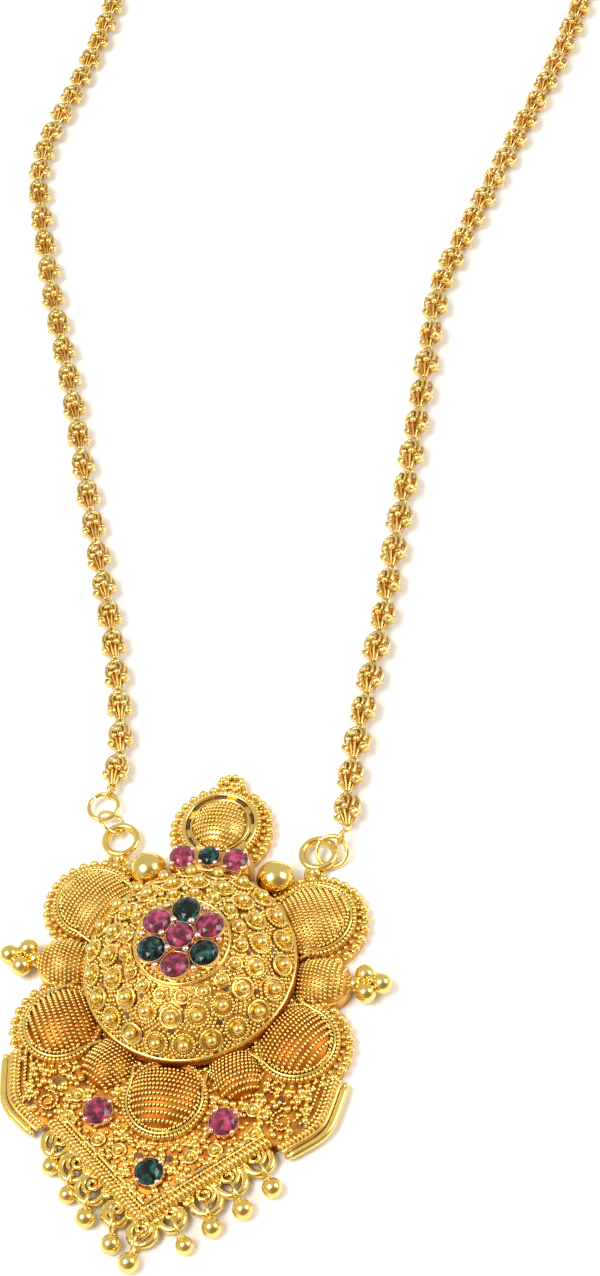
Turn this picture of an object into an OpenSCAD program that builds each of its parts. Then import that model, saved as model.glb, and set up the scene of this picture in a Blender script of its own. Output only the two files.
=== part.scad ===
// Gold filigree pendant with round stones on a link chain, lying flat in one loop.
// Millimetres. Origin at the centre disc's axis on the pendant's flat back, +Y towards the chain,
// +Z out of the pendant's face. The surface it lies on is z = 0.

/* [Pendant] */
// Radius of the raised centre disc
disc_r = 12; // [11.6:0.1:12.3]
// Height of the centre disc's dome above the back
disc_top = 9.2; // [8.8:0.1:9.5]
// Radius of a petal's smooth rim
petal_r = 4.3; // [4.1:0.1:4.5]
// Radius of a petal's beaded skirt
skirt_r = 6.1; // [5.9:0.1:6.2]
// Height of a petal's dome above the back
petal_top = 4.3; // [3.8:0.1:4.8]
// Radius of the four small knurled domes
small_dome_r = 3.2; // [3:0.1:3.4]
// Radius of the two polished balls beside the crown
polished_ball_r = 2.25; // [2:0.05:2.4]

/* [Stones] */
// Radius of the flower's stones
flower_stone_r = 1.46; // [1.3:0.01:1.47]
// Radius of the circle the flower's outer stones sit on
flower_ring_r = 3.4; // [3.3:0.05:3.5]
// Gap between a stone and its seat
stone_gap = 0.04; // [0.03:0.01:0.08]

/* [Loops, rings and drops] */
// Radius of the wire in a drop's eye
eye_wire = 0.19; // [0.16:0.01:0.2]
// Radius of the wire in the large jump rings
ring_wire = 0.27; // [0.24:0.01:0.28]
// Radius of the wire in the pendant's eyelets
eyelet_wire = 0.4; // [0.35:0.01:0.42]

/* [Chain] */
// Radius of each of a link's four balls
link_ball_r = 0.84; // [0.8:0.01:0.86]
// Distance of a link's balls from its axis
link_offset = 0.73; // [0.68:0.01:0.74]
// Distance of a link's two tiers of balls from its middle
link_tier = 0.5; // [0.45:0.01:0.52]
// Radius of the neck between two links
neck_r = 0.46; // [0.4:0.01:0.48]

/* [Hidden] */
$fn = 40;

// Plate and disc, whose dome is a cap of a sphere
plate_h = 1.45;
plate_r = 13;
disc_neck_r = 10.6;
rim_low = 2.25;
rim_top = 3.35;
disc_sphere_r = 14.7;
// Each row of balls on the disc, as [distance from the axis, number, radius]
outer_row = [10.57, 22, 0.62];
second_row = [8.4, 18, 0.6];
flower_base = [5.1, 9];

// Petals, as [x, y] of the right-hand ones and of the two on the middle line
petal_spots = [[12.7, 7.4], [13.2, -7.9]];
middle_petals = [[0, -15.8], [0, 18.45]];
petal_steps = [[skirt_r, 1.55], [skirt_r - 0.8, 2.05], [petal_r + 0.2, 2.65]];
small_dome_spots = [[14.9, 0], [7.2, -12.3]];
small_dome_low = 1.75;
small_dome_top = 3.6;
polished_ball_spot = [7.4, 12.3, 1.75];
ball_cut = 0.3;
// A finial's balls, as [x, y, z, turn], the turn keeping each ball's seam away from its neighbours
finial_balls = [[19.25, 1.3, 1.6, 110], [19.6, -0.9, 1.6, -90], [21.2, 0.4, 1.6, 5]];
finial_r = 1.2;
finial_foot = [2.2, 1.6, 1.3];
finial_foot_spot = [17.2, -0.6, 0.7];
crown_tip = [3.2, 2.2, 1.8];
crown_tip_y = 24;

// Lower plate
plate_outline = [[-17.4, -12.6], [-17, -17.2], [-14, -19.6], [-10.9, -19.8], [0, -29.1],
    [10.9, -19.8], [14, -19.6], [17, -17.2], [17.4, -12.6], [11, -7], [-11, -7]];
lower_plate_h = 1.7;
v_outline = [[-11.9, -20.1], [0, -30.15], [11.9, -20.1], [10.9, -18.9], [0, -28.05],
    [-10.9, -18.9]];
v_h = 2.35;
corner_outline = [[19.3, -11.6], [18.1, -17.7], [14.2, -20.8], [13.2, -19.4], [16.4, -16.9],
    [17.7, -11.4]];
corner_h = 1.8;

// Stones, as [x, y, girdle height, radius]
flower_girdle = 9.4;
middle_girdle = 9.9;
bar_stones = [[-3.05, 12.85, 4.6, 1.33], [0, 13.05, 4.8, 1.12], [3.05, 12.85, 4.6, 1.33]];
plate_stones = [[-6.9, -18, 2.7, 1.48], [6.9, -18, 2.7, 1.48], [0, -24.35, 2.7, 1.46]];
collet_wall = 0.2;
bar_size = [9.2, 2.8, 4.15];
bar_low_y = 11.5;

// Scroll loops, as [x, y, outer radius], left to right, and the balls that hang from them
loop_z = [0.8, 1.3];
loop_width = 0.5;
loops = [[-11, -21.3, 1.4], [-8.45, -23.9, 1.5], [-6.2, -26.2, 1.5], [-3, -28.6, 1.2],
    [0.2, -30.5, 1.25], [3, -28.6, 1.2], [6.2, -26.2, 1.5], [8.45, -23.9, 1.5], [11, -21.3, 1.4]];
drop_balls = [[-11.2, -24.1, 0.98], [-8.7, -27.1, 0.98], [-6.2, -29.5, 1.1], [-2.9, -32.1, 1.1],
    [-0.6, -33.9, 1.14], [4.9, -31.4, 1.0], [7.4, -29.2, 1.1], [10.3, -26.9, 1.12],
    [13, -24.2, 1.12]];
drop_gap = 0.28;

// Eyelets and jump rings
eyelet_spot = [11.6, 16.45, 1.2];
eyelet_r = 1.9;
eyelet_foot_y = 14;
large_ring_r = 1.74;
large_ring_spot = [-14.6, 20.8, 1.15];
small_ring_r = 1.68;
small_ring_wire = 0.2;
small_ring_spot = [-13.11, 18.63, 1.38];
small_ring_tilt = -44;
right_ring_spot = [13.1, 16.8, 1.3];
right_ring_tilt = 30;
end_eye_r = 0.75;
end_eye_wire = 0.2;
left_eye_spot = [-14.2, 22.66, 1.3];
left_eye_turn = 78;
left_eye_joint = [-14.01, 23.6, 1.5];
right_eye_spot = [14.03, 18.25, 2.05];
right_eye_turn = 80;
right_eye_end = [14.16, 18.99, 2.05];
right_eye_joint = [14.4, 20.25, 1.36];
right_eye_rod_r = 0.3;

// The chain's two strands, from the pendant to the clasp
left_route = [[-14, 23.5], [-14, 29.2], [-15.1, 33.5], [-17.7, 42.8], [-20.8, 51.8],
    [-24.7, 62.6], [-29.2, 75.6], [-32.6, 85.8], [-37.4, 98.2], [-41.8, 111.1], [-45.3, 122.8],
    [-45.7, 130.8], [-44.1, 139.1], [-42.3, 151.9], [-41.8, 160.7], [-41.5, 180], [-41.5, 200],
    [-41.5, 220], [-41.3, 235], [-40.7, 250], [-38.6, 264], [-33.3, 275.6], [-24.4, 284.8],
    [-13.4, 290.8], [-4, 292]];
right_route = [[14.4, 20.2], [13.7, 23.5], [13.8, 31.9], [14.1, 41.9], [14.4, 52.3],
    [14.2, 61.5], [14.4, 72.7], [14.3, 89.4], [14.1, 103.5], [15.2, 109], [19.1, 124.1],
    [23.4, 139.9], [25.5, 148.1], [27.8, 160.8], [30.4, 180], [32.1, 200], [33, 220],
    [33.2, 235], [32.4, 250], [30, 264], [25, 276], [17, 285.5], [6, 291], [-2, 292]];
// Each stretch as [distance along the route where it starts, links, spacing]
left_stretches = [[0, 7, 4.6], [32.2, 7, 5.15], [68.25, 7, 5.15], [104.3, 10, 3.9],
    [143.3, 8, 4.58], [179.94, 8, 4.58], [216.58, 8, 4.58], [253.22, 8, 4.62]];
right_stretches = [[0, 7, 4.6], [32.2, 10, 5.1], [83.2, 7, 3.95], [110.85, 8, 3.95],
    [142.45, 8, 4.565], [178.97, 8, 4.565], [215.49, 8, 4.565], [252.01, 8, 4.565]];
left_axis_z = 1.57;
right_axis_z = 1.36;
left_roll = 0;
right_roll = 45;
stretch_gap = 0.12;
// The two balls on the axis at a link's ends, and the balls that join the necks of two links
end_ball_r = 0.95;
end_ball_spot = 0.85;
joint_r = 0.56;
neck_start = 1.4;
neck_stop = 0.2;
shortest_with_neck = 4.2;
clasp_r = 1.6;
clasp_len = 8;
clasp_spot = [-3, 292];

function route_at(points, s, i = 0) =
    let (step = norm(points[i + 1] - points[i]))
    (s <= step || i == len(points) - 2)
        ? points[i] + (points[i + 1] - points[i]) * s / step
        : route_at(points, s - step, i + 1);

module torus(r, wire) {
    rotate_extrude() translate([r, 0]) circle(r = wire);
}

module rod(a, b, r) {
    d = b - a;
    translate(a)
        rotate([0, acos(d.z / norm(d)), atan2(d.y, d.x)])
            cylinder(r = r, h = norm(d));
}

// A dome whose radius is r at the height low and which rises to the height top. It goes on a
// little below that, inside what it stands on.
module cap(r, low, top) {
    rise = top - low;
    ball = (r * r + rise * rise) / (2 * rise);
    intersection() {
        translate([0, 0, top - ball]) sphere(r = ball);
        cylinder(r = r + 0.12, h = top + 1);
    }
}

module both_sides() {
    children();
    mirror([1, 0, 0]) children();
}

module disc() {
    cylinder(r = plate_r, h = plate_h);
    cylinder(r = disc_neck_r, h = rim_top);
    translate([0, 0, rim_low]) cylinder(r = disc_r, h = rim_top - rim_low);
    intersection() {
        translate([0, 0, disc_top - disc_sphere_r]) sphere(r = disc_sphere_r);
        cylinder(r = disc_r - 0.15, h = disc_top - 0.3);
    }
    ball_row(outer_row);
    ball_row(second_row);
    cylinder(r = flower_base[0], h = flower_base[1]);
}

module ball_row(row) {
    z = disc_top - disc_sphere_r + sqrt(pow(disc_sphere_r, 2) - pow(row[0], 2));
    for (i = [0 : row[1] - 1])
        rotate(360 * i / row[1]) translate([row[0], 0, z]) sphere(r = row[2]);
}

module petal() {
    for (level = petal_steps) cylinder(r = level[0], h = level[1]);
    cap(petal_r - 0.2, petal_steps[2][1], petal_top);
}

module small_dome() {
    cylinder(r = small_dome_r, h = small_dome_low);
    cap(small_dome_r - 0.2, small_dome_low, small_dome_top);
}

module polished_ball() {
    intersection() {
        translate(polished_ball_spot) sphere(r = polished_ball_r);
        translate([polished_ball_spot.x, polished_ball_spot.y, ball_cut])
            cylinder(r = polished_ball_r + 0.5, h = 5);
    }
}

module finial() {
    for (ball = finial_balls) translate([ball.x, ball.y, ball.z]) rotate(ball[3]) sphere(r = finial_r);
    translate(finial_foot_spot) cube(finial_foot);
}

module eyelet() {
    translate(eyelet_spot) torus(eyelet_r, eyelet_wire);
    translate([eyelet_spot.x + 0.1, eyelet_foot_y, 0]) cylinder(r = 1, h = 1.5);
}

module lower_plate() {
    linear_extrude(height = lower_plate_h) polygon(plate_outline);
    linear_extrude(height = v_h) polygon(v_outline);
    both_sides() linear_extrude(height = corner_h) polygon(corner_outline);
}

module scroll_loops() {
    for (loop = loops)
        translate([loop.x, loop.y, loop_z[0]]) difference() {
            cylinder(r = loop.z, h = loop_z[1] - loop_z[0]);
            translate([0, 0, -1]) cylinder(r = loop.z - loop_width, h = 3);
        }
}

function flower_spot(n) =
    n == 1 ? [0, 0, middle_girdle, flower_stone_r]
        : [flower_ring_r * cos(150 - 60 * (n - 1)), flower_ring_r * sin(150 - 60 * (n - 1)),
            flower_girdle, flower_stone_r];

module place(spot) {
    translate([spot[0], spot[1], spot[2]]) children();
}

// A round cut stone whose girdle is at its origin
module stone(r) {
    rotate_extrude()
        polygon([[0, -0.45 * r], [0.6 * r, -0.45 * r], [r, -0.05], [r, 0.1], [0.6 * r, 0.42 * r],
            [0, 0.42 * r]]);
}

module collet(r, below) {
    translate([0, 0, -below]) cylinder(r = r + collet_wall, h = below + 0.05);
}

module seat(r) {
    translate([0, 0, -0.45 * r - stone_gap]) cylinder(r = r + stone_gap, h = 3);
}

module pendant() {
    color("gold") difference() {
        union() {
            disc();
            for (spot = middle_petals) translate(spot) petal();
            both_sides() {
                for (spot = petal_spots) translate(spot) petal();
                for (spot = small_dome_spots) translate(spot) small_dome();
                polished_ball();
                finial();
                eyelet();
            }
            translate([-crown_tip.x / 2, crown_tip_y, 0]) cube(crown_tip);
            lower_plate();
            scroll_loops();
            translate([-bar_size.x / 2, bar_low_y, 0]) cube(bar_size);
            for (n = [1 : 7]) place(flower_spot(n)) collet(flower_stone_r, 0.9);
            for (spot = bar_stones) place(spot) collet(spot[3], 0.9);
            for (spot = plate_stones) place(spot) collet(spot[3], 1.8);
        }
        for (n = [1 : 7]) place(flower_spot(n)) seat(flower_stone_r);
        for (spot = bar_stones) place(spot) seat(spot[3]);
        for (spot = plate_stones) place(spot) seat(spot[3]);
    }
}

module flower_stone(n) {
    pink = n == 1 || n % 2 == 1;
    color(pink ? "crimson" : "darkslategray") place(flower_spot(n)) stone(flower_stone_r);
}

module bar_stone(n) {
    spot = bar_stones[n - 1];
    color(n == 2 ? "darkslategray" : "crimson") place(spot) stone(spot[3]);
}

module plate_stone(n) {
    spot = plate_stones[n - 1];
    color(n == 3 ? "darkslategray" : "crimson") place(spot) stone(spot[3]);
}

// A ball lying on the surface, on a wire eye that stands upright through its scroll loop
module drop(n) {
    loop = loops[n - 1];
    ball = drop_balls[n - 1];
    from = [loop.x, loop.y];
    reach = norm([ball.x, ball.y] - from);
    turn = atan2(ball.y - loop.y, ball.x - loop.x);
    near = loop.z - loop_width - eye_wire - drop_gap;
    far = reach - 0.75 * ball.z;
    eye_r = (far - near) / 2;
    color("gold") translate(from) rotate(turn) {
        translate([(near + far) / 2, 0, eye_r + eye_wire]) rotate([90, 0, 0]) torus(eye_r, eye_wire);
        translate([reach, 0, ball.z]) sphere(r = ball.z);
    }
}

module ring_left_large() {
    color("gold") translate(large_ring_spot) torus(large_ring_r, ring_wire);
}

module ring_left_small() {
    away = eyelet_spot - [-large_ring_spot.x, large_ring_spot.y, 0];
    color("gold") translate(small_ring_spot)
        rotate([small_ring_tilt, 0, atan2(away.y, -away.x)])
            torus(small_ring_r, small_ring_wire);
}

module ring_right() {
    color("gold") translate(right_ring_spot) rotate([right_ring_tilt, 0, 0])
        torus(large_ring_r, ring_wire);
}

// One link between the points a and b: four balls in two tiers, a ball on the axis at each end,
// and a thin neck to the next link
module link(a, b, roll, first, last) {
    run = norm(b - a);
    translate(a) rotate([0, 90, atan2(b.y - a.y, b.x - a.x)]) rotate(roll) {
        for (side = [-1, 1]) {
            translate([0, 0, run / 2 + side * end_ball_spot]) sphere(r = end_ball_r);
            translate([side * link_offset, 0, run / 2 + link_tier]) sphere(r = link_ball_r);
            translate([0, side * link_offset, run / 2 - link_tier]) sphere(r = link_ball_r);
        }
        if (run > shortest_with_neck) {
            low = first ? stretch_gap / 2 : neck_stop;
            translate([0, 0, low]) cylinder(r = neck_r, h = run / 2 - neck_start - low);
            high = last ? stretch_gap / 2 : neck_stop;
            translate([0, 0, run / 2 + neck_start])
                cylinder(r = neck_r, h = run / 2 - neck_start - high);
        }
    }
    if (!last) translate(b) rotate(atan2(b.y - a.y, b.x - a.x) + 90) sphere(r = joint_r);
}

module stretch(points, part, z, roll) {
    for (i = [0 : part[1] - 1]) {
        a = route_at(points, part[0] + i * part[2]);
        b = route_at(points, part[0] + (i + 1) * part[2]);
        link([a.x, a.y, z], [b.x, b.y, z], roll, i == 0, i == part[1] - 1);
    }
}

// The upright wire eye that ends a strand
module end_eye(spot, turn) {
    translate(spot) rotate([90, 0, turn]) torus(end_eye_r, end_eye_wire);
}

module chain_left(n) {
    color("gold") {
        stretch(left_route, left_stretches[n - 1], left_axis_z, left_roll);
        if (n == 1) {
            end_eye(left_eye_spot, left_eye_turn);
            translate(left_eye_joint) sphere(r = joint_r);
        }
    }
}

module chain_right(n) {
    color("gold") {
        stretch(right_route, right_stretches[n - 1], right_axis_z, right_roll);
        if (n == 1) {
            end_eye(right_eye_spot, right_eye_turn);
            rod(right_eye_end, right_eye_joint, right_eye_rod_r);
            translate(right_eye_joint) sphere(r = joint_r);
        }
    }
}

module clasp() {
    color("gold") translate([clasp_spot.x, clasp_spot.y, clasp_r]) rotate([0, 90, 0])
        cylinder(r = clasp_r, h = clasp_len, center = true);
}

pendant();
flower_stone(1);  // flower_stone_1
flower_stone(2);  // flower_stone_2
flower_stone(3);  // flower_stone_3
flower_stone(4);  // flower_stone_4
flower_stone(5);  // flower_stone_5
flower_stone(6);  // flower_stone_6
flower_stone(7);  // flower_stone_7
bar_stone(1);  // bar_stone_1
bar_stone(2);  // bar_stone_2
bar_stone(3);  // bar_stone_3
plate_stone(1);  // plate_stone_1
plate_stone(2);  // plate_stone_2
plate_stone(3);  // plate_stone_3
drop(1);  // drop_1
drop(2);  // drop_2
drop(3);  // drop_3
drop(4);  // drop_4
drop(5);  // drop_5
drop(6);  // drop_6
drop(7);  // drop_7
drop(8);  // drop_8
drop(9);  // drop_9
ring_left_large();
ring_left_small();
ring_right();
chain_left(1);  // chain_left_1
chain_left(2);  // chain_left_2
chain_left(3);  // chain_left_3
chain_left(4);  // chain_left_4
chain_left(5);  // chain_left_5
chain_left(6);  // chain_left_6
chain_left(7);  // chain_left_7
chain_left(8);  // chain_left_8
chain_right(1);  // chain_right_1
chain_right(2);  // chain_right_2
chain_right(3);  // chain_right_3
chain_right(4);  // chain_right_4
chain_right(5);  // chain_right_5
chain_right(6);  // chain_right_6
chain_right(7);  // chain_right_7
chain_right(8);  // chain_right_8
clasp();
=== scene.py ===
"""Gold filigree pendant necklace, lying on a pale surface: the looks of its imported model."""

import math

import bpy
import numpy as np
from mathutils import Matrix, Vector


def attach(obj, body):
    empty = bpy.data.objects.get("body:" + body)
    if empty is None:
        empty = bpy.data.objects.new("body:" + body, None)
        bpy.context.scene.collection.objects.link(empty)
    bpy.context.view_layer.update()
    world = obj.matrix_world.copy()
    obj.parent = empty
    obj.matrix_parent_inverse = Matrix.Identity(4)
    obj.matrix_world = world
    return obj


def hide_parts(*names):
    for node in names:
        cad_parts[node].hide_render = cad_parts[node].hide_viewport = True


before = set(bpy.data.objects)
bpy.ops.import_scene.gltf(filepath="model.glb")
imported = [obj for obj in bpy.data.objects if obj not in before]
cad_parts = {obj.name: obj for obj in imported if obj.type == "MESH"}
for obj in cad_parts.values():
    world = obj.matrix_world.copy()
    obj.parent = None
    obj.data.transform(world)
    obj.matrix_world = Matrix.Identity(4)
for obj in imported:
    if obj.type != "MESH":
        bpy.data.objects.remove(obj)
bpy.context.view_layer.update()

bl_info = {
    "name": "Filigree Pendant Necklace",
    "version": (1, 0, 0),
    "blender": (4, 5, 0),
    "location": "View3D > Sidebar > Necklace",
    "description": "Builds a granulated gold pendant on a link chain",
    "category": "Add Mesh",
}

MM = 0.001

# Layout of the pendant in mm, with the disc's axis at the origin and the chain towards +Y
DOME_RADIUS = 14.7
DOME_TOP = 9.0
PETAL_SPOTS = ((12.7, 7.4), (13.2, -7.9), (0, -15.8), (-13.2, -7.9), (-12.7, 7.4))
CROWN_SPOT = (0, 18.45)
PETAL_RADIUS = 5.75
SMALL_DOME_SPOTS = ((14.9, 0), (7.2, -12.3), (-7.2, -12.3), (-14.9, 0))
SMALL_DOME_RADIUS = 3.0
POLISHED_BALL_SPOTS = ((7.4, 12.3), (-7.4, 12.3))
FINIAL_SPOTS = ((19.25, 1.3), (19.6, -0.9), (21.2, 0.4))
EYELET_SPOT = (11.6, 16.45)
PLATE_OUTLINE = ((-17.4, -12.6), (-17, -17.2), (-14, -19.6), (-10.9, -19.8), (0, -29.1),
                 (10.9, -19.8), (14, -19.6), (17, -17.2), (17.4, -12.6), (11, -7), (-11, -7))
PLATE_TOP = 1.7
# What stands on the plate's right half, as x, y and the room that the loose granules leave it,
# and for a curl its radius
PLATE_RINGS = ((3.9, -21.9, 0.95), (10.3, -18.6, 0.95), (6.4, -20.9, 0.95), (2.5, -26.2, 0.95),
               (9.7, -16.0, 0.95))
PLATE_HOLES = ((4.9, -23.4, 0.45), (8.5, -20.5, 0.45), (1.6, -22.3, 0.45), (9.1, -14.4, 0.45),
               (12.4, -14.4, 0.45), (14.9, -17.2, 0.45))
PLATE_CURLS = ((12.9, -17.0, 1.25), (11.7, -13.0, 1.05))
V_END = (11.4, -19.5)
V_APEX = (0, -29.1)
CORNER_PATH = ((18.6, -11.7), (18.2, -14.2), (17.7, -16.5), (16.8, -17.9), (15.4, -19.1),
               (13.8, -20.3))
LOOPS = ((-11, -21.3, 1.4), (-8.45, -23.9, 1.5), (-6.2, -26.2, 1.5), (-3, -28.6, 1.2),
         (0.2, -30.5, 1.25), (3, -28.6, 1.2), (6.2, -26.2, 1.5), (8.45, -23.9, 1.5),
         (11, -21.3, 1.4))
DROP_BALLS = ((-11.2, -24.1, 0.98), (-8.7, -27.1, 0.98), (-6.2, -29.5, 1.1), (-2.9, -32.1, 1.1),
              (-0.6, -33.9, 1.14), (4.9, -31.4, 1.0), (7.4, -29.2, 1.1), (10.3, -26.9, 1.12),
              (13, -24.2, 1.12))

# Corners of a spun profile that lie nearer to each other than this are one, in mm
JOIN = 0.002

# Stones in mm, as x, y, girdle height and radius, and whether the stone is pink
FLOWER_RING = 3.4
FLOWER_STONE = 1.46
FLOWER_STONES = [(0, 0, 9.9, FLOWER_STONE, True)] + [
    (FLOWER_RING * math.cos(math.radians(90 - 60 * i)),
     FLOWER_RING * math.sin(math.radians(90 - 60 * i)), 9.4, FLOWER_STONE, i % 2 == 1)
    for i in range(6)
]
BAR_STONES = [(-3.05, 12.85, 4.6, 1.33, True), (0, 13.05, 4.8, 1.12, False),
              (3.05, 12.85, 4.6, 1.33, True)]
PLATE_STONES = [(-6.9, -18, 2.7, 1.48, True), (6.9, -18, 2.7, 1.48, True),
                (0, -24.35, 2.7, 1.46, False)]

# The strands' routes in mm, from the pendant to the clasp, and each stretch as the distance
# where it starts, its number of links and their spacing
LEFT_ROUTE = ((-14, 23.5), (-14, 29.2), (-15.1, 33.5), (-17.7, 42.8), (-20.8, 51.8),
              (-24.7, 62.6), (-29.2, 75.6), (-32.6, 85.8), (-37.4, 98.2), (-41.8, 111.1),
              (-45.3, 122.8), (-45.7, 130.8), (-44.1, 139.1), (-42.3, 151.9), (-41.8, 160.7),
              (-41.5, 180), (-41.5, 200), (-41.5, 220), (-41.3, 235), (-40.7, 250),
              (-38.6, 264), (-33.3, 275.6), (-24.4, 284.8), (-13.4, 290.8), (-4, 292))
RIGHT_ROUTE = ((14.4, 20.2), (13.7, 23.5), (13.8, 31.9), (14.1, 41.9), (14.4, 52.3),
               (14.2, 61.5), (14.4, 72.7), (14.3, 89.4), (14.1, 103.5), (15.2, 109),
               (19.1, 124.1), (23.4, 139.9), (25.5, 148.1), (27.8, 160.8), (30.4, 180),
               (32.1, 200), (33, 220), (33.2, 235), (32.4, 250), (30, 264), (25, 276),
               (17, 285.5), (6, 291), (-2, 292))
LEFT_STRETCHES = ((0, 7, 4.6), (32.2, 7, 5.15), (68.25, 7, 5.15), (104.3, 10, 3.9),
                  (143.3, 8, 4.58), (179.94, 8, 4.58), (216.58, 8, 4.58), (253.22, 8, 4.62))
RIGHT_STRETCHES = ((0, 7, 4.6), (32.2, 10, 5.1), (83.2, 7, 3.95), (110.85, 8, 3.95),
                   (142.45, 8, 4.565), (178.97, 8, 4.565), (215.49, 8, 4.565),
                   (252.01, 8, 4.565))
CLASP_SPOT = (-3, 292)
LONGEST_LINK = 5.15
LINK_WIDTH = 3.1
# How far in degrees a link is turned from its strand's common lie
LINK_SWAY = 14

# The metal's skin in mm: its patches of redder colour, its fine grain and how deep that is.
# The glass's blots and the card's mottle in mm.
PATCH = 1.6
GRAIN = 0.16
GRAIN_DEPTH = 0.012
BLOT = 0.8
MOTTLE = 8


def linear(code):
    """A linear colour with alpha from an sRGB hex value."""
    channels = [int(code[i : i + 2], 16) / 255 for i in (1, 3, 5)]
    return [c / 12.92 if c <= 0.04045 else ((c + 0.055) / 1.055) ** 2.4 for c in channels] + [1.0]


class GoldLook(bpy.types.PropertyGroup):
    """The colours and finish of the metal and the stones."""

    bright: bpy.props.FloatVectorProperty(
        name="Bright gold", description="Colour of polished 22 carat gold",
        default=linear("#f4d982")[:3], subtype="COLOR", size=3, min=0, max=1)
    # The deep tone stands for the gold in the shaded hollows between the granules: painted shade
    deep: bpy.props.FloatVectorProperty(
        name="Deep gold", description="Colour of the gold between the granules",
        default=linear("#cb8630")[:3], subtype="COLOR", size=3, min=0, max=1)
    pink: bpy.props.FloatVectorProperty(
        name="Pink stone", description="Colour of the pink stones",
        default=linear("#7c2b40")[:3], subtype="COLOR", size=3, min=0, max=1)
    green: bpy.props.FloatVectorProperty(
        name="Green stone", description="Colour of the green stones",
        default=linear("#06110d")[:3], subtype="COLOR", size=3, min=0, max=1)
    polish: bpy.props.FloatProperty(
        name="Roughness", description="Roughness of the tumbled gold",
        default=0.26, min=0.02, max=0.8, subtype="FACTOR")


class GrainSizes(bpy.types.PropertyGroup):
    """Sizes of the granules and wires on the pendant."""

    rope_spacing: bpy.props.FloatProperty(
        name="Rope spacing", description="Distance between the rope wires on a dome",
        default=0.62 * MM, min=0.0003, max=0.002, unit="LENGTH")
    rope_pitch: bpy.props.FloatProperty(
        name="Rope pitch", description="Length of one strand's turn along a rope wire",
        default=0.44 * MM, min=0.0002, max=0.001, unit="LENGTH")
    petal_top: bpy.props.FloatProperty(
        name="Petal height", description="Height of a petal's dome above the back",
        default=4.3 * MM, min=0.003, max=0.006, unit="LENGTH")


class LinkSizes(bpy.types.PropertyGroup):
    """Sizes of the chain's links."""

    width: bpy.props.FloatProperty(
        name="Link width", description="Width of a link across its side clusters",
        default=LINK_WIDTH * MM, min=0.002, max=0.004, unit="LENGTH")


# Shared ways of making shapes

def mm(point):
    """A point in mm as metres."""
    return [v * MM for v in point]


def clear_selection():
    """Leaves edit mode and deselects everything."""
    if bpy.context.mode != "OBJECT":
        bpy.ops.object.mode_set(mode="OBJECT")
    bpy.ops.object.select_all(action="DESELECT")


def only(piece):
    """Makes a piece the one that operators work on."""
    clear_selection()
    piece.select_set(True)
    bpy.context.view_layer.objects.active = piece
    return piece


def new_object(name, data):
    """A new object in the scene."""
    piece = bpy.data.objects.new(name, data)
    bpy.context.scene.collection.objects.link(piece)
    return piece


def settled(smooth=True):
    """Puts the new primitive's place in its mesh and smooths it."""
    piece = only(bpy.context.object)
    bpy.ops.object.transform_apply(location=True, rotation=True, scale=True)
    if smooth:
        bpy.ops.object.shade_smooth()
    return piece


def moved(piece, at, turn=0.0, tilt=0.0, stretch=(1, 1, 1)):
    """Stretches a piece's mesh, turns it about X by tilt and then about Z by turn, in degrees,
    and moves it by mm."""
    piece.data.transform(Matrix.Translation(mm(at))
                         @ Matrix.Rotation(math.radians(turn), 4, "Z")
                         @ Matrix.Rotation(math.radians(tilt), 4, "X")
                         @ Matrix.Diagonal((*stretch, 1)))
    return piece


def ball(r, at=(0, 0, 0), around=8, rows=5):
    """A ball of radius r in mm. A granule that repeats by the hundred has few faces."""
    clear_selection()
    bpy.ops.mesh.primitive_uv_sphere_add(
        segments=around, ring_count=rows, radius=r * MM, location=mm(at))
    return settled()


def ring(r, thick, at=(0, 0, 0), turn=(0, 0, 0), around=20, across=6):
    """A closed wire ring, in mm and degrees."""
    clear_selection()
    bpy.ops.mesh.primitive_torus_add(
        major_radius=r * MM, minor_radius=thick * MM, major_segments=around,
        minor_segments=across, location=mm(at), rotation=[math.radians(v) for v in turn])
    return settled()


def drum(r, low, high, at=(0, 0), sides=48, bevel=0.08):
    """An upright drum with a softened edge, in mm."""
    clear_selection()
    bpy.ops.mesh.primitive_cylinder_add(
        vertices=sides, radius=r * MM, depth=(high - low) * MM,
        location=mm((*at, (low + high) / 2)))
    piece = settled(smooth=False)
    if bevel:
        soften(piece, bevel)
    return piece


def soften(piece, width):
    """Bevels the sharp edges of a piece by width mm and smooths it."""
    only(piece)
    bpy.ops.object.modifier_add(type="BEVEL")
    modifier = piece.modifiers[-1]
    modifier.width = width * MM
    modifier.segments = 2
    modifier.limit_method = "ANGLE"
    bpy.ops.object.modifier_apply(modifier=modifier.name)
    bpy.ops.object.shade_smooth_by_angle(angle=math.radians(40))


def open_mesh(piece):
    """Goes into a piece's mesh with everything selected."""
    only(piece)
    bpy.ops.object.mode_set(mode="EDIT")
    bpy.ops.mesh.select_all(action="SELECT")


def close_mesh():
    """Turns all faces outwards and leaves the mesh."""
    bpy.ops.mesh.select_all(action="SELECT")
    bpy.ops.mesh.normals_make_consistent(inside=False)
    bpy.ops.object.mode_set(mode="OBJECT")


def cut_flat(piece, z):
    """Cuts off what lies below a height in mm and closes the cut."""
    open_mesh(piece)
    bpy.ops.mesh.bisect(plane_co=(0, 0, z * MM), plane_no=(0, 0, 1), use_fill=True,
                        clear_inner=True)
    bpy.ops.object.mode_set(mode="OBJECT")
    return piece


def mesh_piece(corners, edges=(), faces=()):
    """A new object from corners in mm."""
    mesh = bpy.data.meshes.new("mesh")
    mesh.from_pydata([mm(c) for c in corners], edges, faces)
    return new_object("mesh", mesh)


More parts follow.
